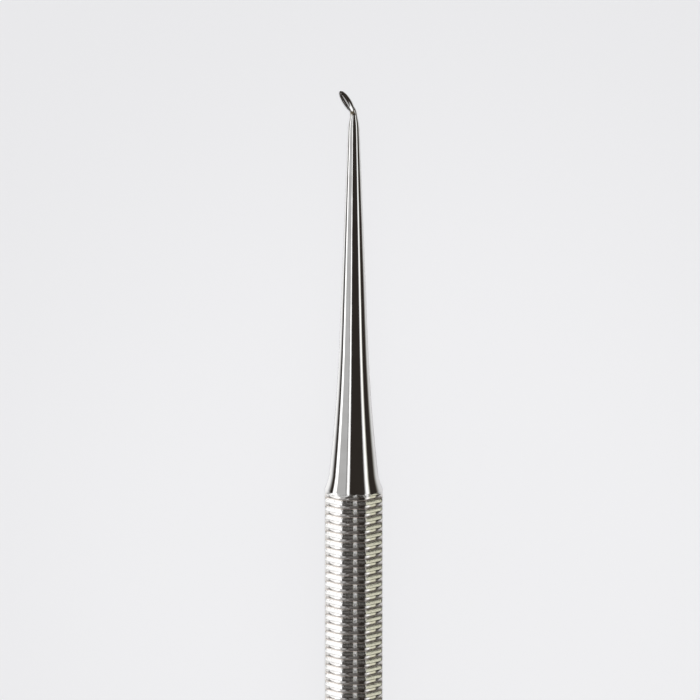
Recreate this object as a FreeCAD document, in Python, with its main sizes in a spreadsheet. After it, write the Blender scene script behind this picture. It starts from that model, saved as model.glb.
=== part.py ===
import FreeCAD, Part
import Sketcher
import math
import os
import sys

# A single-ended spoon excavator, forged and turned from one octagonal steel bar.
# The axis of the bar is the Y axis of the body while it is built, with the shoulder at y = 0,
# the spoon at +Y and the butt at -Y. At the end the tool is laid down on one of its flats.

NODE = "spoon_excavator"

# Driving sizes, in millimetres and degrees
SIZES = (
    ("across_flats", 6.35, "octagonal bar, a quarter of an inch over the flats"),
    ("handle_length", 105.0, "butt to shoulder"),
    ("butt_chamfer", 0.6, "depth of the turned chamfer at the butt, below the flats"),
    ("ring_pitch", 0.95, "from one grip ring to the next"),
    ("ring_count", 40, "turned rings of the grip"),
    ("ring_width", 0.3, "width of a ring, whose walls stand square to the axis"),
    ("ring_depth", 0.13, "root of a ring below a flat"),
    ("first_ring", 0.41, "shoulder to the middle of the first ring"),
    ("shoulder_angle", 24.0, "slope of the shoulder where it breaks out through the flats"),
    ("shoulder_arc", 6.6, "tight radius under the shoulder"),
    ("flare_arc", 221.0, "long radius of the flare"),
    ("shank_taper", 2.18, "slope of the slender cone"),
    ("shank_length", 40.5, "shoulder to the end of the slender cone"),
    ("shank_end_radius", 0.619, "radius at the end of the slender cone"),
    ("neck_run", 1.56, "end of the slender cone to the start of the bend"),
    ("neck_radius", 0.38, "radius of the neck where the bend starts"),
    ("keel_radius", 0.25, "radius of the neck where it ends, under the bowl"),
    ("keel_length", 0.9, "straight run of the neck under the bowl"),
    ("bend_radius", 1.6, "bend of the neck, on its centre line"),
    ("bend_angle", 35.0, "turn of the spoon away from the axis"),
    ("bend_roll", 44.0, "the bend lies over a corner between the upper and the side flat"),
    ("bowl_length", 3.2, "length of the spoon"),
    ("bowl_width", 1.4, "width of the spoon"),
    ("bowl_depth", 0.4, "height of the back of the spoon under its rim"),
    ("rim_width", 0.12, "wall of the spoon at its rim"),
    ("heel_overlap", 0.46, "how far the heel of the bowl reaches back over the bend"),
    ("rim_height", 0.2, "rim plane above the centre line of the neck"),
)

# How far the turning cuts start outside the bar
CLEAR = 0.4

# From the shoulder to the start of the bend
NECK_START = "(Sizes.shank_length + Sizes.neck_run)"

doc = FreeCAD.newDocument("tool")


def fill_sheet():
    """Writes the driving sizes into the sheet, one row each, with what they are."""
    sheet = doc.addObject("Spreadsheet::Sheet", "Sizes")
    for row, (name, value, meaning) in enumerate(SIZES, start=1):
        sheet.set("A%d" % row, name)
        sheet.set("B%d" % row, str(value))
        sheet.set("C%d" % row, meaning)
        sheet.setAlias("B%d" % row, name)
    doc.recompute()
    return sheet


sizes = fill_sheet()
body = doc.addObject("PartDesign::Body", "Body")
body.Label = NODE


def origin_feature(role):
    """One of the planes or axes that belong to the body."""
    return next(item for item in body.Origin.OriginFeatures if item.Role == role)


def own_sketch(name, support, mode):
    """A sketch of the body, laid on one of its planes or frames."""
    sketch = body.newObject("Sketcher::SketchObject", name)
    sketch.AttachmentSupport = [(support, "")]
    sketch.MapMode = mode
    return sketch


def bind(item, links):
    """Ties properties or named dimensions of an object to the sheet."""
    for path, expression in links.items():
        item.setExpression(path, expression)


def dimension(sketch, name, kind, places, value, expression):
    """A named dimension with a first value, then driven by an expression."""
    index = sketch.addConstraint(Sketcher.Constraint(kind, *places, value))
    sketch.renameConstraint(index, name)
    sketch.setExpression("Constraints." + name, expression)


def chain(sketch, points):
    """Closed run of straight lines through the points; returns the index of its first line."""
    corners = [FreeCAD.Vector(x, y, 0) for x, y in points]
    first = sketch.GeometryCount
    for start, end in zip(corners, corners[1:] + corners[:1]):
        sketch.addGeometry(Part.LineSegment(start, end), False)
    last = sketch.GeometryCount - 1
    for line in range(first, last):
        sketch.addConstraint(Sketcher.Constraint("Coincident", line, 2, line + 1, 1))
    sketch.addConstraint(Sketcher.Constraint("Coincident", last, 2, first, 1))
    return first


# The bar: an octagon with a flat below, pushed from the butt to the start of the bend
def octagonal_bar():
    half = sizes.across_flats / 2
    profile = own_sketch("BarProfile", origin_feature("XZ_Plane"), "FlatFace")
    near = half * math.tan(math.radians(22.5))
    corners = [(near, -half), (half, -near), (half, near), (near, half)]
    corners += [(-x, -y) for x, y in corners]
    chain(profile, corners)
    for line in range(1, 8):
        profile.addConstraint(Sketcher.Constraint("Equal", 0, line))
    for line in (1, 5):
        profile.addConstraint(Sketcher.Constraint("Vertical", line))
    for line in (3, 7):
        profile.addConstraint(Sketcher.Constraint("Horizontal", line))
    profile.addConstraint(Sketcher.Constraint("Symmetric", 0, 1, 4, 1, -1, 1))
    dimension(profile, "OverFlats", "DistanceX", (5, 1, 1, 1), sizes.across_flats, "Sizes.across_flats")
    bind(profile, {"AttachmentOffset.Base.z": "-" + NECK_START})
    bar = body.newObject("PartDesign::Pad", "Bar")
    bar.Profile = profile
    bind(bar, {"Length": "Sizes.handle_length + " + NECK_START})


def turn_away(name, sketch):
    """A turning cut: the closed outline swept once round the axis of the bar."""
    cut = body.newObject("PartDesign::Groove", name)
    cut.Profile = sketch
    cut.ReferenceAxis = (origin_feature("Y_Axis"), [""])
    cut.Angle = 360.0
    return cut


def add_arc(sketch, centre, radius, start, end):
    """An arc round a centre, from one angle to the other; returns its index."""
    circle = Part.Circle(centre, FreeCAD.Vector(0, 0, 1), radius)
    return sketch.addGeometry(Part.ArcOfCircle(circle, start, end), False)


# The shank: everything outside its outline is turned away from the bar. The outline is the slope
# of the shoulder, a tight arc, a long arc, the slender cone and a last short arc down to the neck.
def turned_shank():
    outline = own_sketch("ShankOutline", origin_feature("YZ_Plane"), "FlatFace")
    half = sizes.across_flats / 2
    outside = half + CLEAR
    slope = math.radians(sizes.shoulder_angle)
    taper = math.radians(sizes.shank_taper)
    # first guesses for the chain, which the constraints then settle: the slope where the two
    # long curves meet and the radius of the last arc
    middle = math.radians(9.0)
    last_radius = 5 * sizes.neck_run
    tight = sizes.shoulder_arc
    long_arc = sizes.flare_arc
    tight_centre = FreeCAD.Vector(tight * math.sin(slope), half + tight * math.cos(slope), 0)
    joint = tight_centre + FreeCAD.Vector(-math.sin(middle), -math.cos(middle), 0) * tight
    long_centre = joint + FreeCAD.Vector(math.sin(middle), math.cos(middle), 0) * long_arc
    flare_end = long_centre + FreeCAD.Vector(-math.sin(taper), -math.cos(taper), 0) * long_arc
    cone_end = FreeCAD.Vector(sizes.shank_length, sizes.shank_end_radius, 0)
    neck = cone_end + FreeCAD.Vector(sizes.neck_run, sizes.neck_radius - sizes.shank_end_radius, 0)
    shoulder = FreeCAD.Vector(0, half, 0)
    start = FreeCAD.Vector(-CLEAR / math.tan(slope), outside, 0)
    past_neck = neck + FreeCAD.Vector(CLEAR, 0, 0)
    corner = FreeCAD.Vector(past_neck.x, outside, 0)
    down = 1.5 * math.pi
    up = 0.5 * math.pi
    last_centre = cone_end + FreeCAD.Vector(-math.sin(taper), -math.cos(taper), 0) * last_radius
    turn = sizes.neck_run / last_radius
    line_a = outline.addGeometry(Part.LineSegment(start, shoulder), False)
    arc_a = add_arc(outline, tight_centre, tight, down - slope, down - middle)
    arc_b = add_arc(outline, long_centre, long_arc, down - middle, down - taper)
    line_b = outline.addGeometry(Part.LineSegment(flare_end, cone_end), False)
    arc_c = add_arc(outline, last_centre, last_radius, up - taper - turn, up - taper)
    line_c = outline.addGeometry(Part.LineSegment(neck, past_neck), False)
    line_d = outline.addGeometry(Part.LineSegment(past_neck, corner), False)
    line_e = outline.addGeometry(Part.LineSegment(corner, start), False)
    # the tangent chain, joined end to end
    outline.addConstraint(Sketcher.Constraint("Tangent", line_a, 2, arc_a, 1))
    outline.addConstraint(Sketcher.Constraint("Tangent", arc_a, 2, arc_b, 1))
    outline.addConstraint(Sketcher.Constraint("Tangent", arc_b, 2, line_b, 1))
    outline.addConstraint(Sketcher.Constraint("Tangent", line_b, 2, arc_c, 2))
    outline.addConstraint(Sketcher.Constraint("Coincident", arc_c, 1, line_c, 1))
    outline.addConstraint(Sketcher.Constraint("Coincident", line_c, 2, line_d, 1))
    outline.addConstraint(Sketcher.Constraint("Coincident", line_d, 2, line_e, 1))
    outline.addConstraint(Sketcher.Constraint("Coincident", line_e, 2, line_a, 1))
    outline.addConstraint(Sketcher.Constraint("Horizontal", line_c))
    outline.addConstraint(Sketcher.Constraint("Vertical", line_d))
    outline.addConstraint(Sketcher.Constraint("Horizontal", line_e))
    outline.addConstraint(Sketcher.Constraint("PointOnObject", line_a, 2, -2))
    dimension(outline, "ShoulderRadius", "DistanceY", (-1, 1, line_a, 2), half, "Sizes.across_flats / 2")
    dimension(outline, "ShoulderRun", "DistanceX", (line_a, 1, -1, 1), -start.x,
              "%g / tan(Sizes.shoulder_angle * 1 deg)" % CLEAR)
    dimension(outline, "TightArc", "Radius", (arc_a,), tight, "Sizes.shoulder_arc")
    dimension(outline, "LongArc", "Radius", (arc_b,), long_arc, "Sizes.flare_arc")
    dimension(outline, "ConeLength", "DistanceX", (-1, 1, line_b, 2), cone_end.x, "Sizes.shank_length")
    dimension(outline, "ConeRadius", "DistanceY", (-1, 1, line_b, 2), cone_end.y, "Sizes.shank_end_radius")
    dimension(outline, "NeckPlace", "DistanceX", (-1, 1, arc_c, 1), neck.x, NECK_START)
    dimension(outline, "NeckRadius", "DistanceY", (-1, 1, arc_c, 1), neck.y, "Sizes.neck_radius")
    outline.addConstraint(Sketcher.Constraint("DistanceX", line_c, 1, line_c, 2, CLEAR))
    dimension(outline, "Outside", "DistanceY", (-1, 1, line_d, 2), outside,
              "Sizes.across_flats / 2 + %g" % CLEAR)
    turn_away("TurnedShank", outline)
    return outline


# The grip: one square-walled ring is turned into the bar, deep enough to cut through the flats, and
# is repeated towards the butt. At the corners of the octagon the same ring comes out three times as deep.
def grip_rings():
    outline = own_sketch("RingOutline", origin_feature("YZ_Plane"), "FlatFace")
    half = sizes.across_flats / 2
    root = half - sizes.ring_depth
    outside = half + CLEAR
    near = -sizes.first_ring + sizes.ring_width / 2
    far = near - sizes.ring_width
    first = chain(outline, [(far, root), (near, root), (near, outside), (far, outside)])
    outline.addConstraint(Sketcher.Constraint("Horizontal", first))
    outline.addConstraint(Sketcher.Constraint("Vertical", first + 1))
    outline.addConstraint(Sketcher.Constraint("Horizontal", first + 2))
    outline.addConstraint(Sketcher.Constraint("Vertical", first + 3))
    dimension(outline, "Root", "DistanceY", (-1, 1, first, 1), root,
              "Sizes.across_flats / 2 - Sizes.ring_depth")
    dimension(outline, "Outside", "DistanceY", (-1, 1, first + 2, 1), outside,
              "Sizes.across_flats / 2 + %g" % CLEAR)
    dimension(outline, "Place", "DistanceX", (first, 1, -1, 1), -far,
              "Sizes.first_ring + Sizes.ring_width / 2")
    dimension(outline, "Width", "DistanceX", (first, 1, first, 2), sizes.ring_width, "Sizes.ring_width")
    ring = turn_away("Ring", outline)
    doc.recompute()
    rings = body.newObject("PartDesign::LinearPattern", "Rings")
    rings.Originals = [ring]
    rings.Direction = (origin_feature("Y_Axis"), [""])
    rings.Reversed = True
    bind(rings, {"Length": "(Sizes.ring_count - 1) * Sizes.ring_pitch", "Occurrences": "Sizes.ring_count"})
    body.Tip = rings
    doc.recompute()


# The butt: a turned chamfer, which leaves a scallop on each flat
def butt_chamfer():
    outline = own_sketch("ButtOutline", origin_feature("YZ_Plane"), "FlatFace")
    half = sizes.across_flats / 2
    outside = half + CLEAR
    end = -sizes.handle_length
    inner = half - sizes.butt_chamfer
    first = chain(outline, [(end, inner), (end + outside - inner, outside), (end - CLEAR, outside),
                            (end - CLEAR, inner)])
    outline.addConstraint(Sketcher.Constraint("Horizontal", first + 1))
    outline.addConstraint(Sketcher.Constraint("Vertical", first + 2))
    outline.addConstraint(Sketcher.Constraint("Horizontal", first + 3))
    dimension(outline, "End", "DistanceX", (first, 1, -1, 1), -end, "Sizes.handle_length")
    dimension(outline, "Inner", "DistanceY", (-1, 1, first, 1), inner,
              "Sizes.across_flats / 2 - Sizes.butt_chamfer")
    dimension(outline, "Outside", "DistanceY", (-1, 1, first, 2), outside,
              "Sizes.across_flats / 2 + %g" % CLEAR)
    dimension(outline, "Run", "DistanceX", (first, 1, first, 2), outside - inner,
              "Sizes.butt_chamfer + %g" % CLEAR)
    outline.addConstraint(Sketcher.Constraint("DistanceX", first + 3, 1, first + 3, 2, CLEAR))
    turn_away("ButtChamfer", outline)


# The bend stands in a plane through the axis, rolled over a corner of the octagon. In its frame X
# runs across the spoon, Y along the axis and Z to the side that the spoon leans to.
def bend_frame():
    frame = body.newObject("PartDesign::CoordinateSystem", "BendFrame")
    frame.AttachmentSupport = [(origin_feature("XY_Plane"), "")]
    frame.MapMode = "ObjectXY"
    frame.AttachmentOffset = FreeCAD.Placement(
        FreeCAD.Vector(), FreeCAD.Rotation(FreeCAD.Vector(0, -1, 0), sizes.bend_roll))
    bind(frame, {"AttachmentOffset.Rotation.Angle": "Sizes.bend_roll * 1 deg"})
    return frame


# The spoon has its own frame in the middle of its rim: X across it, Y to its tip, Z out of the hollow
def bowl_frame(bend):
    frame = body.newObject("PartDesign::CoordinateSystem", "BowlFrame")
    frame.AttachmentSupport = [(bend, "")]
    frame.MapMode = "ObjectXY"
    frame.AttachmentOffset = FreeCAD.Placement(
        FreeCAD.Vector(), FreeCAD.Rotation(FreeCAD.Vector(1, 0, 0), sizes.bend_angle))
    turn = "Sizes.bend_angle * 1 deg"
    reach = "(Sizes.bowl_length / 2 - Sizes.heel_overlap)"
    bind(frame, {
        "AttachmentOffset.Rotation.Angle": turn,
        "AttachmentOffset.Base.y": "%s + (Sizes.bend_radius - Sizes.rim_height) * sin(%s) + %s * cos(%s)"
                                   % (NECK_START, turn, reach, turn),
        "AttachmentOffset.Base.z": "Sizes.bend_radius * (1 - cos(%s)) + %s * sin(%s)"
                                   " + Sizes.rim_height * cos(%s)" % (turn, reach, turn, turn),
    })
    return frame


# The neck: a tapering round bar led round the bend and on under the bowl, as a keel
def neck(bend, bowl):
    angle = math.radians(sizes.bend_angle)
    radius = sizes.bend_radius
    path = own_sketch("NeckPath", bend, "ObjectYZ")
    centre = FreeCAD.Vector(sizes.shank_length + sizes.neck_run, radius, 0)
    arc_end = centre + FreeCAD.Vector(math.sin(angle), -math.cos(angle), 0) * radius
    keel_end = arc_end + FreeCAD.Vector(math.cos(angle), math.sin(angle), 0) * sizes.keel_length
    arc = add_arc(path, centre, radius, 1.5 * math.pi, 1.5 * math.pi + angle)
    keel = path.addGeometry(Part.LineSegment(arc_end, keel_end), False)
    path.addConstraint(Sketcher.Constraint("Tangent", arc, 2, keel, 1))
    path.addConstraint(Sketcher.Constraint("PointOnObject", arc, 1, -1))
    path.addConstraint(Sketcher.Constraint("Vertical", arc, 1, arc, 3))
    dimension(path, "Start", "DistanceX", (-1, 1, arc, 1), centre.x, NECK_START)
    dimension(path, "Bend", "Radius", (arc,), radius, "Sizes.bend_radius")
    dimension(path, "Keel", "Distance", (keel, 1, keel, 2), sizes.keel_length, "Sizes.keel_length")
    dimension(path, "Turn", "Angle", (-1, 1, keel, 1), angle, "Sizes.bend_angle * 1 deg")
    root = own_sketch("NeckRoot", bend, "ObjectXZ")
    bind(root, {"AttachmentOffset.Base.z": "-" + NECK_START})
    end = own_sketch("NeckEnd", bowl, "ObjectXZ")
    bind(end, {
        "AttachmentOffset.Base.y": "-Sizes.rim_height",
        "AttachmentOffset.Base.z": "Sizes.bowl_length / 2 - Sizes.heel_overlap - Sizes.keel_length",
    })
    for section, name in ((root, "neck_radius"), (end, "keel_radius")):
        value = getattr(sizes, name)
        ring = section.addGeometry(Part.Circle(FreeCAD.Vector(), FreeCAD.Vector(0, 0, 1), value), False)
        section.addConstraint(Sketcher.Constraint("Coincident", ring, 3, -1, 1))
        dimension(section, "Size", "Radius", (ring,), value, "Sizes." + name)
    doc.recompute()
    pipe = body.newObject("PartDesign::AdditivePipe", "Neck")
    pipe.Profile = root
    pipe.Spine = (path, [""])
    pipe.Transformation = "Multisection"
    pipe.Sections = [end]
    return pipe


# The bowl: half an ellipsoid under the rim plane, hollowed by a smaller one
def bowl(frame):
    back = body.newObject("PartDesign::AdditiveEllipsoid", "BowlBack")
    trim = body.newObject("PartDesign::SubtractiveBox", "RimPlane")
    hollow = body.newObject("PartDesign::SubtractiveEllipsoid", "Hollow")
    for feature in (back, trim, hollow):
        feature.AttachmentSupport = [(frame, "")]
        feature.MapMode = "ObjectXY"
    bind(back, {
        "Radius1": "Sizes.bowl_depth",
        "Radius2": "Sizes.bowl_width / 2",
        "Radius3": "Sizes.bowl_length / 2",
    })
    bind(trim, {
        "Length": "2 * Sizes.bowl_width",
        "Width": "Sizes.bowl_length + %g" % CLEAR,
        "Height": "Sizes.bowl_width",
        "AttachmentOffset.Base.x": "-Sizes.bowl_width",
        "AttachmentOffset.Base.y": "-Sizes.bowl_length / 2",
    })
    bind(hollow, {
        "Radius1": "Sizes.bowl_depth - Sizes.rim_width",
        "Radius2": "Sizes.bowl_width / 2 - Sizes.rim_width",
        "Radius3": "Sizes.bowl_length / 2 - Sizes.rim_width",
    })


# Lays the finished tool down: lower flat on z = 0, middle of its box over the origin
def lay_down():
    box = body.Shape.optimalBoundingBox()
    middle = box.Center
    body.Placement = FreeCAD.Placement(FreeCAD.Vector(-middle.x, -middle.y, -box.ZMin), FreeCAD.Rotation())


def write_step():
    for item in doc.Objects:
        wrong = [word for word in item.State if word in ("Invalid", "Error")]
        if wrong:
            sys.exit("%s: %s" % (item.Name, wrong))
    shape = body.Shape
    if shape.isNull() or not shape.isValid() or len(shape.Solids) != 1:
        sys.exit("the tool is not one sound solid")
    os.makedirs("parts", exist_ok=True)
    shape.exportStep("parts/%s.step" % NODE)
    box = shape.optimalBoundingBox()
    sides = (box.XLength, box.YLength, box.ZLength)
    print(NODE + ": %.2f x %.2f x %.2f mm" % sides + ", %.1f mm3" % shape.Volume)


octagonal_bar()
turned_shank()
doc.recompute()
grip_rings()
butt_chamfer()
doc.recompute()
bend = bend_frame()
doc.recompute()
bowl_place = bowl_frame(bend)
doc.recompute()
neck(bend, bowl_place)
doc.recompute()
bowl(bowl_place)
doc.recompute()
lay_down()
doc.recompute()
write_step()
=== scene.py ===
# %% [markdown]
# # A spoon excavator in polished steel
# A spoon excavator is a small hand tool for scooping out soft material. It is one piece of steel: an
# octagonal bar with turned rings for the grip, a slender shank that flares into the bar, a bent neck and a
# hollow spoon three millimetres long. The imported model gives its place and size, and stays as it is. Here
# the same form is built again with a finer mesh, because polished steel shows every facet of a coarse one.

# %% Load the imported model
import math

import bmesh
import bpy
from mathutils import Matrix, Vector


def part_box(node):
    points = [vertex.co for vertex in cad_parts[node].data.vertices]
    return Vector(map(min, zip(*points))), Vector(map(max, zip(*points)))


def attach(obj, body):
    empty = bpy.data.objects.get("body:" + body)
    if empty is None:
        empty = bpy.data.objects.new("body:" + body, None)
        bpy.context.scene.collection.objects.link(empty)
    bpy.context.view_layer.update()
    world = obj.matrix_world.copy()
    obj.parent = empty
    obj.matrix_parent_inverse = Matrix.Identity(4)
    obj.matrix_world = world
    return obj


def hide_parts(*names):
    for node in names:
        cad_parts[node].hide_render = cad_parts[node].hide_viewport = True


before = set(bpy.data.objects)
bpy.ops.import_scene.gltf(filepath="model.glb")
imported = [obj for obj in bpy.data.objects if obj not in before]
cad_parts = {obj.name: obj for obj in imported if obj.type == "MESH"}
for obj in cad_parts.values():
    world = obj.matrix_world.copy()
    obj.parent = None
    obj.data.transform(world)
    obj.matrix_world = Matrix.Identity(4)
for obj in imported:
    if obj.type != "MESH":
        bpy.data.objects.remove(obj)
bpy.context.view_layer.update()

low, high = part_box("spoon_excavator")
print("frame", [round(side * 1000, 2) for side in high - low], "mm")

# %% [markdown]
# ## Sizes
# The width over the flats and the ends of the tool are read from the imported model. The rest are the
# design sizes of the tool, in metres. Places along the tool are counted from the shoulder, where the
# shank breaks out through the flats of the bar, with the spoon on the positive side.

# %% Sizes of the tool
MM = 0.001
TURN = 2 * math.pi

half_flats = (high.x - low.x) / 2
axis_height = low.z + half_flats
handle_length = 105 * MM
shoulder_y = low.y + handle_length

ring_pitch = 0.95 * MM
ring_width = 0.3 * MM
ring_depth = 0.13 * MM
ring_count = 40
first_ring = 0.41 * MM
butt_chamfer = 0.6 * MM

shoulder_slope = math.radians(24.0)
tight_arc = 6.6 * MM
long_arc = 221.0 * MM
taper = math.radians(2.18)
shank_length = 40.5 * MM
shank_end_radius = 0.619 * MM
neck_start = shank_length + 1.56 * MM
neck_radius = 0.38 * MM

bend_radius = 1.6 * MM
bend_angle = math.radians(35.0)
bend_roll = math.radians(44.0)
keel_radius = 0.25 * MM
keel_length = 0.9 * MM

bowl_length = 3.2 * MM
bowl_width = 1.4 * MM
bowl_depth = 0.4 * MM
rim_width = 0.12 * MM
heel_overlap = 0.46 * MM
rim_height = 0.2 * MM

print("shoulder at", round(shoulder_y / MM, 2), "mm")

# %% [markdown]
# ## Working in edit mode from a script
# Blender's operators act on what is selected, and a script has no mouse. So each step first deselects
# everything, and then selects vertices or edges by where they are. Two small helpers do that here. They
# print nothing, but every piece prints its count of faces when it is done.

# %% Helpers for selecting
TINY = 1e-6


def only(obj):
    """Makes obj the one selected and active object."""
    if bpy.context.object and bpy.context.object.mode != "OBJECT":
        bpy.ops.object.mode_set(mode="OBJECT")
    bpy.ops.object.select_all(action="DESELECT")
    bpy.context.view_layer.objects.active = obj
    obj.select_set(True)


def edit(obj):
    """Opens obj in edit mode with nothing selected."""
    only(obj)
    bpy.ops.object.mode_set(mode="EDIT")
    bpy.ops.mesh.select_mode(type="VERT")
    bpy.ops.mesh.select_all(action="DESELECT")


def pick(test, kind="VERT"):
    """Selects the vertices, or the edges, of the mesh in edit mode that pass the test."""
    mesh = bpy.context.object.data
    bpy.ops.mesh.select_mode(type=kind)
    bpy.ops.mesh.select_all(action="DESELECT")
    work = bmesh.from_edit_mesh(mesh)
    for part in (work.verts if kind == "VERT" else work.edges):
        part.select_set(bool(test(part)))
    work.select_flush_mode()
    bmesh.update_edit_mesh(mesh)


def radius_of(vert):
    """Distance of a vertex from the axis of the tool."""
    return math.hypot(vert.co.x, vert.co.z - axis_height)


def at(vert, y):
    """True where the vertex lies in the plane across the tool at y."""
    return abs(vert.co.y - y) < TINY


def extrude(step):
    """Extrudes what is selected by a step."""
    bpy.ops.mesh.extrude_region_move(TRANSFORM_OT_translate={"value": step})


def settle(obj, name):
    """Applies the object's place, so that it is in the mesh, and names it."""
    only(obj)
    bpy.ops.object.transform_apply(location=True, rotation=True, scale=True)
    obj.name = name
    return obj


def apply_modifier(obj, kind, **settings):
    """Adds a modifier with these settings and applies it."""
    only(obj)
    modifier = obj.modifiers.new(kind, kind)
    for key, value in settings.items():
        setattr(modifier, key, value)
    bpy.ops.object.modifier_apply(modifier=modifier.name)


def cut_with(obj, tool, operation):
    """One exact boolean of two solids; the second one is used up."""
    apply_modifier(obj, "BOOLEAN", operation=operation, object=tool, solver="EXACT")
    bpy.data.objects.remove(tool)


def tidy_normals(obj):
    """Merges doubles and turns every face outwards."""
    edit(obj)
    bpy.ops.mesh.select_all(action="SELECT")
    bpy.ops.mesh.remove_doubles(threshold=TINY / 10)
    bpy.ops.mesh.normals_make_consistent(inside=False)
    bpy.ops.object.mode_set(mode="OBJECT")


def report(obj):
    """Prints the size of a mesh and how many of its edges are open."""
    work = bmesh.new()
    work.from_mesh(obj.data)
    loose = sum(1 for edge in work.edges if len(edge.link_faces) != 2)
    corners = sum(len(face.verts) - 2 for face in work.faces)
    print(obj.name, len(work.faces), "faces,", corners, "triangles,", loose, "open edges")
    work.free()


# %% [markdown]
# ## The grip: half a ring, then forty
# The grip is an octagonal bar with rings turned into it. The rings are all alike, so half of one is
# modelled, from the middle of a land to the middle of the ring below it. A mirrored copy completes it, and
# an Array repeats it. The outline starts as an octagon of eight points. Its corners get a small round,
# because a drawn bar has no sharp corners, and its flats get a crown of a hundredth of a millimetre.
# Polishing also makes the lands fall away towards their edges, and that decides what they reflect. A
# boolean per ring would give the same form with a much poorer mesh.

# %% The outline of the bar
corner_round = 0.10 * MM
crown = 0.0125 * MM
edge_flats = half_flats - crown
flat_cuts = 5
root_radius = half_flats - ring_depth
worn_edge = 0.035 * MM
half_land = (ring_pitch - ring_width) / 2 - worn_edge
first_y = shoulder_y - first_ring + ring_pitch / 2
ring_y = first_y - ring_pitch / 2

# the fall of a land from its middle to its edge: place along the tool and depth
LAND = ((0.09 * MM, 0.0022 * MM), (0.17 * MM, 0.0078 * MM), (0.24 * MM, 0.0155 * MM),
        (half_land - 0.015 * MM, 0.0220 * MM), (half_land, 0.030 * MM), (half_land + worn_edge, 0.062 * MM))
# the wall and the root of the ring: place along the tool and height over the root
WALL = ((half_land + worn_edge, 0.055 * MM), (half_land + worn_edge + 0.012 * MM, 0.020 * MM),
        (half_land + worn_edge + 0.030 * MM, 0.0012 * MM), (ring_pitch / 2, 0.0))


def crowned_octagon():
    """A short tube with eight crowned flats and rounded corners, as long as the first step of the land."""
    bpy.ops.mesh.primitive_circle_add(
        vertices=8, radius=edge_flats / math.cos(TURN / 16), fill_type="NOTHING",
        location=(0, first_y, axis_height), rotation=(TURN / 4, TURN / 16, 0))
    stretch = settle(bpy.context.object, "spoon_excavator_body")
    edit(stretch)
    bpy.ops.mesh.select_all(action="SELECT")
    extrude((0, -LAND[0][0], 0))
    pick(lambda edge: abs(edge.verts[0].co.y - edge.verts[1].co.y) > TINY, "EDGE")
    bpy.ops.mesh.bevel(offset=corner_round, segments=3, affect="EDGES")
    pick(lambda edge: edge.calc_length() > 4 * corner_round and at(edge.verts[0], edge.verts[1].co.y), "EDGE")
    bpy.ops.mesh.subdivide(number_cuts=flat_cuts)
    flat_half = edge_flats * math.tan(TURN / 16) - corner_round
    steps = flat_cuts + 1
    for cut in range(steps // 2):
        across = flat_half * (1 - 2 * (cut + 1) / steps)
        distance = math.hypot(edge_flats, across)
        rise = crown * (1 - (across / flat_half) ** 2)
        pick(lambda vert: abs(radius_of(vert) - distance) < 2 * TINY)
        growth = 1 + rise / distance
        bpy.ops.transform.resize(value=(growth, 1, growth), center_override=(0, first_y, axis_height))
    return stretch


# %% Half a ring, and its mirrored copy


def shrink(factor):
    """Scales the selected loop towards the axis."""
    bpy.ops.transform.resize(value=(factor, 1, factor), center_override=(0, first_y, axis_height))


def ring_stretch():
    """From the middle of one land over a ring to the middle of the next land."""
    stretch = crowned_octagon()
    pick(lambda vert: at(vert, first_y - LAND[0][0]))
    shrink(1 - LAND[0][1] / half_flats)
    along, drop = LAND[0]
    for next_along, next_drop in LAND[1:]:
        extrude((0, along - next_along, 0))
        shrink((half_flats - next_drop) / (half_flats - drop))
        along, drop = next_along, next_drop
    extrude((0, 0, 0))
    bpy.ops.transform.tosphere(value=1.0)
    work = bmesh.from_edit_mesh(stretch.data)
    radius = next(radius_of(vert) for vert in work.verts if vert.select)
    for next_along, height in WALL:
        if next_along > along:
            extrude((0, along - next_along, 0))
        shrink((root_radius + height) / radius)
        along, radius = next_along, root_radius + height
    bpy.ops.mesh.select_all(action="SELECT")
    bpy.ops.mesh.duplicate()
    bpy.ops.transform.resize(value=(1, -1, 1), center_override=(0, ring_y, axis_height))
    bpy.ops.object.mode_set(mode="OBJECT")
    tidy_normals(stretch)
    return stretch


tool = ring_stretch()
report(tool)

# %% The rings in a row, and the plain bar on both sides of them
apply_modifier(tool, "ARRAY", count=ring_count, use_relative_offset=False, use_constant_offset=True,
               constant_offset_displace=(0, -ring_pitch, 0), use_merge_vertices=True, merge_threshold=TINY)
last_y = first_y - ring_count * ring_pitch
spare = 0.4 * MM


def lengthen(end_y, new_y):
    """Pulls the open end of the bar out to a new place and closes it."""
    edit(tool)
    pick(lambda vert: at(vert, end_y))
    extrude((0, new_y - end_y, 0))
    bpy.ops.mesh.edge_face_add()
    bpy.ops.object.mode_set(mode="OBJECT")


lengthen(first_y, shoulder_y + neck_start + spare)
lengthen(last_y, low.y - spare)
tidy_normals(tool)
report(tool)

# %% [markdown]
# ## The turned outline
# On the real tool the shank, the shoulder and the chamfer at the butt are turned from the bar on a lathe.
# The outline of that turning is drawn point by point with extrude, spun round the axis, and the bar is
# intersected with it. The scallops on the flats then come out by themselves, where the slope of the
# shoulder runs out through them. The two arcs and the cone meet without a kink, so the angle at which
# they meet is worked out and not guessed.

# %% Outline of the shank and the spun solid
spokes = 96


def arc_points(centre, radius, start, end, count):
    """Points of an arc under its centre, by the slope of the curve there."""
    slopes = [start + (end - start) * step / count for step in range(1, count + 1)]
    return [(centre[0] - radius * math.sin(slope), centre[1] - radius * math.cos(slope)) for slope in slopes]


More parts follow.
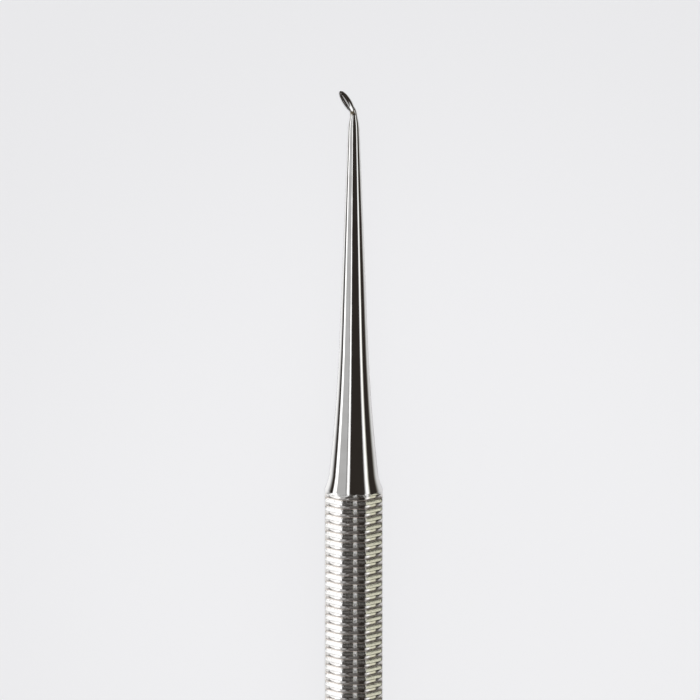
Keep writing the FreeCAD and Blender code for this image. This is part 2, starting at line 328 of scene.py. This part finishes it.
def shank_outline():
    """Distance from the shoulder and radius, from the shoulder to the neck."""
    tight_centre = (tight_arc * math.sin(shoulder_slope), half_flats + tight_arc * math.cos(shoulder_slope))
    square = (math.sin(taper), math.cos(taper))
    cone_offset = shank_length * square[0] + shank_end_radius * square[1]
    centre_offset = tight_centre[0] * square[0] + tight_centre[1] * square[1]
    meeting = taper + math.acos((cone_offset + long_arc - centre_offset) / (long_arc - tight_arc))
    reach = long_arc - tight_arc
    long_centre = (tight_centre[0] + reach * math.sin(meeting), tight_centre[1] + reach * math.cos(meeting))
    points = [(0.0, half_flats)]
    points += arc_points(tight_centre, tight_arc, shoulder_slope, meeting, 12)
    points += arc_points(long_centre, long_arc, meeting, taper, 16)
    flare_end = points[-1]
    cone_steps = 10
    for step in range(1, cone_steps + 1):
        part = step / cone_steps
        points.append((flare_end[0] + (shank_length - flare_end[0]) * part,
                       flare_end[1] + (shank_end_radius - flare_end[1]) * part))
    run = neck_start - shank_length
    drop = shank_end_radius - neck_radius
    last_arc = (run ** 2 + drop ** 2) / (2 * (drop * square[1] - run * square[0]))
    last_centre = (shank_length - last_arc * square[0], shank_end_radius - last_arc * square[1])
    turn_end = math.asin((neck_start - last_centre[0]) / last_arc)
    points += arc_points(last_centre, -last_arc, taper, turn_end, 6)
    return points


def turned_solid():
    """The outline of the whole tool spun round its axis."""
    outside = half_flats + spare
    outline = [(-handle_length, 0.0), (-handle_length, half_flats - butt_chamfer),
               (-handle_length + butt_chamfer + spare, outside),
               (-spare / math.tan(shoulder_slope), outside)]
    outline += shank_outline()
    outline.append((neck_start, 0.0))
    places = [Vector((0, shoulder_y + along, axis_height + radius)) for along, radius in outline]
    bpy.ops.mesh.primitive_plane_add(size=MM, location=places[0])
    solid = settle(bpy.context.object, "turning")
    edit(solid)
    bpy.ops.mesh.select_all(action="SELECT")
    bpy.ops.mesh.merge(type="CENTER")
    for start, end in zip(places, places[1:]):
        extrude(end - start)
    bpy.ops.mesh.select_all(action="SELECT")
    bpy.ops.mesh.spin(steps=spokes, angle=TURN, center=(0, 0, axis_height), axis=(0, 1, 0))
    bpy.ops.object.mode_set(mode="OBJECT")
    tidy_normals(solid)
    return solid


turning = turned_solid()
report(turning)
cut_with(tool, turning, "INTERSECT")
tidy_normals(tool)
report(tool)

# %% [markdown]
# ## The neck and the spoon
# The neck is bent towards the user's side and ends as a keel under the bowl. It is drawn out of a circle
# in short steps, each turned a little further round the bend and made a little thinner. The bowl is half
# an ellipsoid, cut off at the rim and hollowed by a smaller one. All of it is made upright, with the bend
# in the plane of Y and Z, and is then rolled about the axis to where the photo shows it.

# %% The neck
bend_steps = 14
keel_steps = 4
bend_run = bend_radius * bend_angle
neck_y = shoulder_y + neck_start


def neck_radius_at(along):
    """The neck thins evenly from the shank to the end of the keel."""
    return neck_radius + (keel_radius - neck_radius) * along / (bend_run + keel_length)


def drawn_neck():
    """A disc drawn out round the bend and along the keel, turned and thinned at each step."""
    bpy.ops.mesh.primitive_circle_add(
        vertices=spokes, radius=neck_radius, fill_type="NGON", location=(0, neck_y, 0),
        rotation=(TURN / 4, bend_roll, 0))
    neck = settle(bpy.context.object, "neck")
    edit(neck)
    bpy.ops.mesh.select_all(action="SELECT")
    centre = Vector((0, neck_y, 0))
    along = 0.0
    steps = [(bend_run / bend_steps, bend_angle / bend_steps)] * bend_steps
    steps += [(keel_length / keel_steps, 0.0)] * keel_steps
    turned = 0.0
    for run, turn in steps:
        heading = turned + turn / 2
        chord = run if turn == 0 else 2 * bend_radius * math.sin(turn / 2)
        step = Vector((0, math.cos(heading), math.sin(heading))) * chord
        extrude(step)
        centre += step
        if turn:
            bpy.ops.transform.rotate(value=-turn, orient_axis="X", center_override=centre)
        turned += turn
        thinner = neck_radius_at(along + run) / neck_radius_at(along)
        bpy.ops.transform.resize(value=(thinner, thinner, thinner), center_override=centre)
        along += run
    bpy.ops.object.mode_set(mode="OBJECT")
    tidy_normals(neck)
    return neck


neck = drawn_neck()
report(neck)

# %% The bowl, hollowed and joined to the neck
reach = bowl_length / 2 - heel_overlap
bowl_y = neck_y + (bend_radius - rim_height) * math.sin(bend_angle) + reach * math.cos(bend_angle)
heel_rise = bend_radius * (1 - math.cos(bend_angle)) + reach * math.sin(bend_angle)
bowl_middle = Vector((0, bowl_y, heel_rise + rim_height * math.cos(bend_angle)))


def ellipsoid(width, length, depth, name):
    """A round ball pulled to an ellipsoid about the middle of the rim."""
    bpy.ops.mesh.primitive_uv_sphere_add(
        segments=72, ring_count=48, radius=1, location=bowl_middle, rotation=(bend_angle, 0, 0),
        scale=(width / 2, length / 2, depth))
    return settle(bpy.context.object, name)


def rim_cutter():
    """A block over the rim plane, which starts at the heel."""
    bpy.ops.mesh.primitive_cube_add(size=1, location=bowl_middle, rotation=(bend_angle, 0, 0),
                                    scale=(2 * bowl_width, bowl_length + spare, bowl_width))
    block = bpy.context.object
    slide = Vector((0, spare / 2, bowl_width / 2))
    slide.rotate(Matrix.Rotation(bend_angle, 3, "X"))
    block.location += slide
    return settle(block, "rim_cutter")


spoon = ellipsoid(bowl_width, bowl_length, bowl_depth, "spoon")
cut_with(spoon, neck, "UNION")
cut_with(spoon, rim_cutter(), "DIFFERENCE")
hollow = ellipsoid(bowl_width - 2 * rim_width, bowl_length - 2 * rim_width, bowl_depth - rim_width, "hollow")
cut_with(spoon, hollow, "DIFFERENCE")
report(spoon)

# %% Rolling the spoon into place and joining it to the shank
spoon.location = (0, 0, axis_height)
spoon.rotation_euler = (0, -bend_roll, 0)
settle(spoon, "spoon")


def open_end(obj, y, facing):
    """Deletes the flat end of a solid in the plane across the tool at y."""
    edit(obj)
    bpy.ops.mesh.select_mode(type="FACE")
    work = bmesh.from_edit_mesh(obj.data)
    for face in work.faces:
        face.select_set(all(at(vert, y) for vert in face.verts) and face.normal.y * facing > 0.9)
    bmesh.update_edit_mesh(obj.data)
    bpy.ops.mesh.delete(type="ONLY_FACE")
    pick(lambda vert: not vert.link_faces)
    bpy.ops.mesh.delete(type="VERT")
    bpy.ops.object.mode_set(mode="OBJECT")


open_end(tool, neck_y, 1)
open_end(spoon, neck_y, -1)
only(tool)
spoon.select_set(True)
bpy.ops.object.join()
tidy_normals(tool)
only(tool)
bpy.ops.object.shade_smooth_by_angle(angle=math.radians(32))
report(tool)

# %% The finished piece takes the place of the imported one
tool.name = "spoon_excavator_body"
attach(tool, "root")
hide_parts("spoon_excavator")
print(tool.name, "stands for the packed spoon_excavator")

# %% [markdown]
# ## Shader maths as Python
# A material is a net of nodes. Wiring it by hand in code is long, so one small class wraps a socket and
# lets Python's own operators add the Math nodes. Any other node comes from one method that takes the
# node's type, its settings and the values or links of its sockets.

# %% A socket that can be added, multiplied and compared


class Net:
    """One node tree, with a method that adds any node to it."""

    def __init__(self, tree):
        self.tree = tree
        tree.nodes.clear()

    def node(self, kind, settings=(), output=0, **sockets):
        """Adds a node; a socket is named by its name, or by s and its number."""
        made = self.tree.nodes.new(kind)
        for key, value in dict(settings).items():
            setattr(made, key, value)
        for key, value in sockets.items():
            self.plug(made.inputs[int(key[1:]) if key[1:].isdigit() else key.replace("_", " ")], value)
        return Term(self, made.outputs[output]) if made.outputs else made

    def plug(self, socket, value):
        """Links a socket to a term, or sets its value."""
        if isinstance(value, Term):
            self.tree.links.new(value.socket, socket)
        else:
            socket.default_value = value

    def maths(self, operation, *values):
        """One Math node on numbers or terms."""
        return self.node("ShaderNodeMath", {"operation": operation},
                         **{"s%d" % index: value for index, value in enumerate(values)})

    def mix(self, factor, first, second):
        """Mixes two colours."""
        made = self.tree.nodes.new("ShaderNodeMix")
        made.data_type = "RGBA"
        for index, value in ((0, factor), (6, first), (7, second)):
            if not isinstance(value, (Term, int, float)):
                value = (*value, 1)
            self.plug(made.inputs[index], value)
        return Term(self, made.outputs[2])


class Term:
    """A socket that carries a value, with the operators of a number."""

    def __init__(self, net, socket):
        self.net = net
        self.socket = socket

    def __add__(self, other):
        return self.net.maths("ADD", self, other)

    def __sub__(self, other):
        return self.net.maths("SUBTRACT", self, other)

    def __rsub__(self, other):
        return self.net.maths("SUBTRACT", other, self)

    def __mul__(self, other):
        return self.net.maths("MULTIPLY", self, other)

    def __truediv__(self, other):
        return self.net.maths("DIVIDE", self, other)

    def __gt__(self, other):
        return self.net.maths("GREATER_THAN", self, other)

    __radd__ = __add__
    __rmul__ = __mul__


def split(net, vector):
    """The three parts of a vector."""
    return [net.node("ShaderNodeSeparateXYZ", output=axis, Vector=vector) for axis in range(3)]


def ramp(net, value, start, end):
    """Runs from 0 to 1 between two values, with soft ends."""
    return net.node("ShaderNodeMapRange", {"interpolation_type": "SMOOTHSTEP"}, Value=value,
                    From_Min=start, From_Max=end, To_Min=0.0, To_Max=1.0)


# %% [markdown]
# ## The steel
# The tool is bright stainless steel. It is metallic, so nearly all that is seen in it is its
# surroundings, and what makes it look real is the fine unevenness of the polish. There are turning lines
# round the shank and in the rings, long polishing scratches, and soft patches where the cloth went over
# it. Years of use have left short strokes and fine pits on the lands. All of them are noise, pulled long
# in one direction for the lines and left even for the patches and pits.

# %% Noise for the marks of polish and use
steel = bpy.data.materials.new("bright_steel")
steel.use_nodes = True
net = Net(steel.node_tree)
place = net.node("ShaderNodeTexCoord", output=3)
x, y, z = split(net, place)
height = z - axis_height
distance = net.maths("SQRT", x * x + height * height)
grip = ramp(net, y, shoulder_y + 0.1 * MM, shoulder_y - 0.1 * MM)


def stretched_noise(scale, detail, rough):
    """Noise with a scale of its own along each axis, which draws it out into lines."""
    stretched = net.node("ShaderNodeVectorMath", {"operation": "MULTIPLY"}, s0=place, s1=scale)
    return net.node("ShaderNodeTexNoise", s2=1.0, s3=detail, s4=rough, Vector=stretched)


# turning lines: noise that changes quickly along the tool and slowly round it
turning_lines = stretched_noise((60.0, 9000.0, 60.0), 3.0, 0.6)
# polishing scratches: noise that changes quickly across the tool and slowly along it
scratches = stretched_noise((14000.0, 260.0, 14000.0), 3.0, 0.65)
# short strokes of wear along the lands
strokes = stretched_noise((5500.0, 800.0, 5500.0), 2.0, 0.6)
# soft patches of the polish, and the fine pits of use on the lands
patches = net.node("ShaderNodeTexNoise", s2=420.0, s3=3.0, s4=0.5, Vector=place)
pits = net.node("ShaderNodeTexNoise", s2=6500.0, s3=2.0, s4=0.6, Vector=place)
print("the marks of polish and use take", len(steel.node_tree.nodes), "nodes")

# %% [markdown]
# Polishing never reaches the bottom of the rings, so a trace of brown stays there. The upper edge of each
# land is worn dull, and it is also painted brown: a painted warm reflection on the side that faces the spoon.
# Masks say where that is. They are worked out from the place on the tool, so they fit the form without a
# painted image.

# %% Masks for the rings
# how far down a ring a point lies: 0 on the lands, 1 at the root
sink = ramp(net, distance, half_flats - 0.02 * MM, root_radius + 0.01 * MM) * grip
land = grip - sink
tarnish = sink * ramp(net, patches, 0.30, 0.60)
# place within one pitch: 0 at the middle of a land, 0.5 at the middle of a ring
pitch_part = net.maths("FRACT", (first_y - y) / ring_pitch)
top_start = 1 - half_land / ring_pitch
# the upper edge of each land: worn dull, and painted brown as a painted warm reflection
top_edge_wear_and_reflection = ramp(net, pitch_part, top_start - 0.05, top_start)
top_edge_wear_and_reflection = top_edge_wear_and_reflection * ramp(net, pitch_part, top_start + 0.14, top_start + 0.04)
# the plain handle below the last ring has no such edges
top_edge_wear_and_reflection = top_edge_wear_and_reflection * grip * ramp(net, y, last_y - 0.1 * MM, last_y + 0.1 * MM)
print("masks for", ring_count, "rings")

# %% [markdown]
# Two more places differ. A pale worn line runs along the upper flat of the grip, near its middle, and
# there the surface leans a little to one side. The rim of the spoon is ground, so it is duller than the
# polish, and it is painted near black: painted shade for the dark that it reflects. It is found by its
# height over the plane through the rim.

# %% Masks for the worn line, and the ground rim with its painted shade
# the worn line along the upper flat, tilted a little to one side
wear_middle = 0.16 * MM
wear_half = 0.24 * MM
wear_slope = 0.30
upper_side = net.maths("GREATER_THAN", height, 0.0)
worn = ramp(net, net.maths("ABSOLUTE", x - wear_middle), wear_half, wear_half * 0.8) * land * upper_side
wear_height = (x - wear_middle) * worn * (wear_slope / (0.1 * MM))

# the ground rim of the spoon, painted dark as painted shade, by its height over the rim's plane
rim_normal = Vector((0, 0, 1))
rim_normal.rotate(Matrix.Rotation(bend_angle, 3, "X"))
rim_normal.rotate(Matrix.Rotation(-bend_roll, 3, "Y"))
rim_middle = Vector(bowl_middle)
rim_middle.rotate(Matrix.Rotation(-bend_roll, 3, "Y"))
rim_middle.z += axis_height
over_rim = net.node("ShaderNodeVectorMath", {"operation": "DOT_PRODUCT"}, output=1, s0=place,
                    s1=tuple(rim_normal)) - rim_normal.dot(rim_middle)
ground_rim_and_shade = ramp(net, over_rim, -0.012 * MM, -0.004 * MM) * ramp(net, y, neck_y, neck_y + 0.3 * MM)
print("the worn line is", round(2 * wear_half / MM, 2), "mm wide")

# %% [markdown]
# The masks then mix the colours, and add to the roughness and to the relief. Bump nodes are chained, each
# with a depth of its own: a hundredth of a millimetre for the lines and up to a tenth for the worn line.

# %% Colour, roughness and relief of the steel
STEEL_DULL = (0.70, 0.69, 0.68)
STEEL_CLEAR = (0.76, 0.755, 0.75)
TARNISH_BROWN = (0.52, 0.42, 0.34)
# the brown of the upper land edges is a painted warm reflection, and the near black of the rim is painted
# shade
PAINTED_WARM_REFLECTION = (0.72, 0.60, 0.50)
RIM_PAINTED_SHADE = (0.16, 0.13, 0.08)
tarnish_share = 0.15
warm_reflection_share = 0.55
rim_shade_share = 0.85

bright = net.mix(ramp(net, patches, 0.3, 0.7), STEEL_DULL, STEEL_CLEAR)
colour = net.mix(tarnish * tarnish_share, bright, TARNISH_BROWN)
# painted warm reflection on the upper land edges, then painted shade on the rim
colour = net.mix(top_edge_wear_and_reflection * warm_reflection_share, colour, PAINTED_WARM_REFLECTION)
colour = net.mix(ground_rim_and_shade * rim_shade_share, colour, RIM_PAINTED_SHADE)
roughness = (0.02 + patches * 0.04 + scratches * 0.03 + sink * 0.03 + land * (0.07 + pits * 0.12)
             + top_edge_wear_and_reflection * 0.18 + ground_rim_and_shade * 0.16 + worn * 0.06)
relief = net.node("ShaderNodeBump", Strength=0.10, Distance=0.00001, Height=turning_lines)
relief = net.node("ShaderNodeBump", Strength=0.16, Distance=0.00001, Height=scratches, Normal=relief)
relief = net.node("ShaderNodeBump", Strength=1.0, Distance=0.000018, Height=strokes * land, Normal=relief)
relief = net.node("ShaderNodeBump", Strength=1.0, Distance=0.000015, Height=pits * land, Normal=relief)
relief = net.node("ShaderNodeBump", Strength=1.0, Distance=0.0001, Height=wear_height, Normal=relief)
surface = net.node("ShaderNodeBsdfPrincipled", Base_Color=colour, Metallic=1.0, Roughness=roughness,
                   Normal=relief)
net.node("ShaderNodeOutputMaterial", Surface=surface)
tool.data.materials.clear()
tool.data.materials.append(steel)
print("steel has", len(steel.node_tree.nodes), "nodes")

# %% [markdown]
# ## The studio
# Polished steel shows the room it stands in, so the room is part of the picture. Steel tools are
# photographed between soft white panels with dark gaps, because the gaps draw the form. The panels here
# are long and run beside the tool, and they are drawn on the world. Area lights would do the same, but
# their edges are hard in a mirror, and these fade out softly. The floor and the camera see plain pale
# light instead, so that the ground stays even.

# %% The direction that a reflection looks in
world = bpy.data.worlds.new("studio")
bpy.context.scene.world = world
world.use_nodes = True
sky = Net(world.node_tree)
way = sky.node("ShaderNodeTexCoord", output=0)
side_way, long_way, up_way = split(sky, way)
angle = sky.maths("ARCTAN2", side_way, up_way)
print("the world is", world.name)

# %% [markdown]
# Each panel is given by six numbers. The first two are the direction of its middle round the tool and
# half its width, in degrees: 0 is straight up, 90 is to the right and -90 to the left. The third is how
# many degrees its sides take to fade out. The next two are where it starts and ends along the tool, from
# -1 towards the butt to 1 towards the spoon. The last is its brightness.

# %% Soft panels in a dark room
ROOM = 0.035
SOFT_END = 0.01
PANELS = {
    "paper on the left": (-155, 32, 30, -0.4, 1.1, 1.1),
    "paper on the right": (155, 34, 30, -0.2, 0.7, 0.8),
    "left strip": (-88, 8, 8, -0.2, 0.7, 1.8),
    "left wall": (-60, 26, 10, -1.1, 0.7, 0.55),
    "upper left strip": (-25, 5, 8, -0.2, 0.7, 1.8),
    "right strip": (62, 8, 14, -0.25, 0.7, 1.5),
    "left of the handle": (-90, 30, 10, -0.75, -0.2, 1.3),
    "right of the handle": (88, 18, 16, -0.5, -0.2, 0.9),
    "over the handle": (0, 20, 12, -0.4, -0.2, 0.15),
    "left of the spoon": (-105, 28, 20, 0.7, 1.1, 1.7),
    "beyond the spoon": (0, 60, 30, 0.7, 1.1, 0.15),
}


def panel(middle, half_width, fade, start, end, brightness):
    """The light of one panel, which fades out at its sides and its ends."""
    off_middle = sky.maths("ABSOLUTE", angle - math.radians(middle))
    outside = math.radians(half_width + fade / 2)
    inside = math.radians(half_width - fade / 2)
    begun = ramp(sky, long_way, start - SOFT_END, start + SOFT_END)
    going_on = ramp(sky, long_way, end + SOFT_END, end - SOFT_END)
    return ramp(sky, off_middle, outside, inside) * begun * going_on * brightness


brightness = sum((panel(*numbers) for numbers in PANELS.values()), ROOM)
print(len(PANELS), "panels")

# %% [markdown]
# Light that is only white would make the steel look like chrome in a drawing. Here the dark parts of the
# room are a warm dark, and whatever stands on the right is a pale yellow.

# %% The colour of the light
WARM_DARK = (1.0, 0.84, 0.72)
PALE_YELLOW = (1.0, 0.99, 0.78)
panel_white = (1.0, 1.0, 1.0)
right_side = (ramp(sky, angle, math.radians(62), math.radians(80))
              * ramp(sky, angle, math.radians(125), math.radians(105)))
panel_colour = sky.mix(right_side, panel_white, PALE_YELLOW)
room_colour = sky.mix(ramp(sky, brightness, 0.05, 0.25), WARM_DARK, panel_colour)
print("the dark room is warm and its right side a little yellow")

# %% [markdown]
# Only a reflection sees the panels. A ray that has already left the paper gets the plain light, so that
# the panels don't light the ground by way of the steel.

# %% The panels for reflections, plain light for all else
camera_ray = sky.node("ShaderNodeLightPath", output=0)
glossy_ray = sky.node("ShaderNodeLightPath", output=3)
after_paper = sky.node("ShaderNodeLightPath", output=10)
fill = 0.12
backdrop = (0.871, 0.871, 0.880)
plain = sky.mix(camera_ray, (fill, fill, fill), backdrop)
plain_light = sky.node("ShaderNodeBackground", Color=plain, Strength=1.0)
panel_light = sky.node("ShaderNodeBackground", Color=room_colour, Strength=brightness)
in_steel = glossy_ray * (1 - (after_paper > 0.5))
sky.node("ShaderNodeOutputWorld", Surface=sky.node(
    "ShaderNodeMixShader", s0=in_steel, s1=plain_light, s2=panel_light))
print("world has", len(world.node_tree.nodes), "nodes")

# %% [markdown]
# ## The paper and the key light
# The tool lies on pale paper, so large that its edge is never seen. Paper is dull and has a faint grain,
# and in the photo it gets a little darker away from the tool; here that fall-off of the light is painted into
# the paper's colour. It isn't seen in the steel, because the panels already hold the paper's share. The key
# light is a small soft sun beside the camera.

# %% The floor
floor_size = 4.0
floor_gap = 0.02 * MM
bpy.ops.object.select_all(action="DESELECT")
bpy.ops.mesh.primitive_plane_add(size=floor_size, location=(0, 0, low.z - floor_gap))
floor = bpy.context.object
floor.name = "floor"
paper = bpy.data.materials.new("pale_paper")
paper.use_nodes = True
sheet = Net(paper.node_tree)
paper_place = sheet.node("ShaderNodeTexCoord", output=3)
grain = sheet.node("ShaderNodeTexNoise", s2=30.0, s3=4.0, s4=0.5, Vector=paper_place)
# painted light: the paper is painted a little darker away from its bright middle, which lies beside the upper
# end of the grip, as a pool of lamp light
painted_pool_x = 0.008
painted_pool_y = 0.022
painted_fall_start = 0.02
painted_fall_end = 0.075
paper_parts = split(sheet, paper_place)
off_x = paper_parts[0] - painted_pool_x
off_y = paper_parts[1] - painted_pool_y
from_painted_pool = sheet.maths("SQRT", off_x * off_x + off_y * off_y)
grain_and_painted_fall = sheet.mix(grain, (0.845, 0.845, 0.86), (0.855, 0.855, 0.87))
# painted fall-off of the light, away from the bright middle
grain_and_painted_fall = sheet.mix(ramp(sheet, from_painted_pool, painted_fall_start, painted_fall_end), grain_and_painted_fall, (0.80, 0.80, 0.815))
sheet.node("ShaderNodeOutputMaterial", Surface=sheet.node(
    "ShaderNodeBsdfPrincipled", Base_Color=grain_and_painted_fall, Roughness=0.9))
floor.data.materials.append(paper)
floor.visible_glossy = False
print("the paper has", len(paper.node_tree.nodes), "nodes")

# %% The key light, from beside the camera
tilt = math.radians(12)
key_strength = 2.93
bpy.ops.object.light_add(type="SUN", location=(0, 0, 1), rotation=(-tilt, 0, 0))
key = bpy.context.object
key.name = "key"
key.data.energy = key_strength
key.data.angle = math.radians(3)
key.visible_glossy = False
print("the key light leans by", round(math.degrees(tilt)), "degrees")

# %% [markdown]
# ## The camera
# The photo was taken from far off with a long lens: the rings stay straight and evenly spaced down to
# the edge. The camera looks almost square onto the tool, a little from the side of the spoon.

# %% Camera
far = 1.2
sensor = 36
image_side = 700
pixels_per_mm = 9.055
side_shift = -0.00041
ahead = 15.75 * MM
target = Vector((side_shift, shoulder_y + ahead, axis_height))
field = image_side / pixels_per_mm * MM
camera_data = bpy.data.cameras.new("camera")
camera = bpy.data.objects.new("camera", camera_data)
bpy.context.scene.collection.objects.link(camera)
camera.location = target + Vector((0, math.sin(tilt), math.cos(tilt))) * far
camera.rotation_euler = (-tilt, 0, 0)
camera_data.sensor_width = sensor
camera_data.lens = sensor * far / field
camera_data.clip_start = 0.01
bpy.context.scene.camera = camera
bpy.context.scene.view_settings.view_transform = "Standard"
print("the picture is", round(field / MM, 1), "mm wide")
